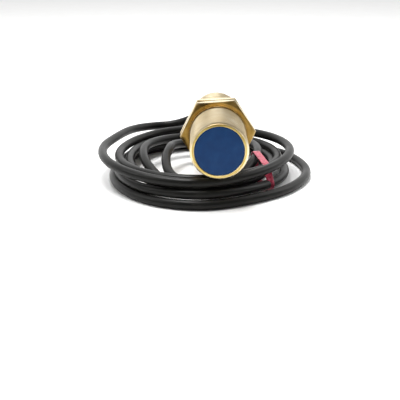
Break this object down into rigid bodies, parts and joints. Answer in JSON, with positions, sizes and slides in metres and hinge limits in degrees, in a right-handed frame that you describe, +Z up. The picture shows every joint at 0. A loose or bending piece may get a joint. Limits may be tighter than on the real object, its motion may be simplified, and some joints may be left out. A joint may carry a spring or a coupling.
{
  "type": "proximity sensor",
  "caption": "Flush cylindrical inductive proximity sensor: threaded brass barrel, blue sensing face, thin hexagon nuts and a moulded cable lying in a loose coil.",
  "frame": {"origin": "centre of the blue sensing face, on the barrel axis", "axes": "+Y along the barrel from the sensing face to the cable, +Z up from the surface that the cable coil lies on"},
  "size_m": [0.125, 0.1478, 0.0499],
  "materials": {
    "brass": "turned and threaded, satin",
    "nut_brass": "machined faces, lightly tarnished",
    "washer_metal": "stamped, dull",
    "blue_plastic": "moulded, satin",
    "black_plastic": "moulded, fine texture",
    "frosted_plastic": "translucent, frosted",
    "rubber": "moulded nitrile",
    "relief_rubber": "moulded, matt",
    "cable_sheath": "soft PVC, satin",
    "insulation_brown": "wire insulation",
    "insulation_black": "wire insulation",
    "insulation_blue": "wire insulation",
    "tinned_copper": "tinned strands",
    "tie_red": "thin coated band, slightly glossy",
    "ferrite": "sintered and ground",
    "nylon": "moulded",
    "enamelled_copper": "enamelled wire",
    "copper_foil": "rolled foil",
    "board_laminate": "solder mask",
    "chip_resin": "moulded epoxy",
    "capacitor_ceramic": "fired",
    "resistor_black": "glazed",
    "tantalum_resin": "moulded epoxy",
    "diode_glass": "sealed glass",
    "lamp_lens": "clear lens",
    "potting_resin": "cast epoxy"
  },
  "bodies": {
    "root": {"barrel": "brass", "sensing_cap": "blue_plastic", "front_o_ring": "rubber", "ferrite_core": "ferrite", "coil_bobbin": "nylon", "coil_winding": "enamelled_copper", "board_carrier": "nylon", "circuit_board": "board_laminate", "oscillator_chip": "chip_resin", "driver_chip": "chip_resin", "chip_pins": "tinned_copper", "output_transistor": "chip_resin", "transistor_tab": "tinned_copper", "ceramic_capacitors": "capacitor_ceramic", "chip_resistors": "resistor_black", "supply_capacitor": "tantalum_resin", "protection_diodes": "diode_glass", "status_lamps": "lamp_lens", "screen_foil": "copper_foil", "end_cap": "black_plastic", "rear_o_ring": "rubber", "light_ring": "frosted_plastic", "cable_seal": "rubber", "strain_relief": "relief_rubber", "conductor_brown": "insulation_brown", "conductor_black": "insulation_black", "conductor_blue": "insulation_blue", "potting": "potting_resin", "coil_tie": "tie_red", "cable_coil": "cable_sheath", "cable_lead": "cable_sheath", "cable_tail": "cable_sheath", "lead_brown": "insulation_brown", "lead_black": "insulation_black", "lead_blue": "insulation_blue", "tinned_tips": "tinned_copper"},
    "front_lock_washer": {"front_lock_washer": "washer_metal"},
    "front_nut": {"front_nut": "nut_brass"},
    "rear_lock_washer": {"rear_lock_washer": "washer_metal"},
    "rear_nut": {"rear_nut": "nut_brass"}
  },
  "joints": [
    {"name": "front_nut_travel", "type": "slide", "parent": "root", "child": "front_lock_washer", "axis": [0, -1, 0], "range_m": [0, 0.0045]},
    {"name": "front_nut_turn", "type": "hinge", "parent": "front_lock_washer", "child": "front_nut", "pos_m": [0, 0.0343, 0], "axis": [0, -1, 0], "range_deg": [0, 1080]},
    {"name": "rear_nut_travel", "type": "slide", "parent": "root", "child": "rear_lock_washer", "axis": [0, 1, 0], "range_m": [0, 0.02251]},
    {"name": "rear_nut_turn", "type": "hinge", "parent": "rear_lock_washer", "child": "rear_nut", "pos_m": [0, 0.04045, 0], "axis": [0, 1, 0], "range_deg": [0, 5400]}
  ],
  "couplings": [
    {"joint": "front_nut_travel", "follows": "front_nut_turn", "m_per_rad": 0.00023873},
    {"joint": "rear_nut_travel", "follows": "rear_nut_turn", "m_per_rad": 0.00023873}
  ]
}
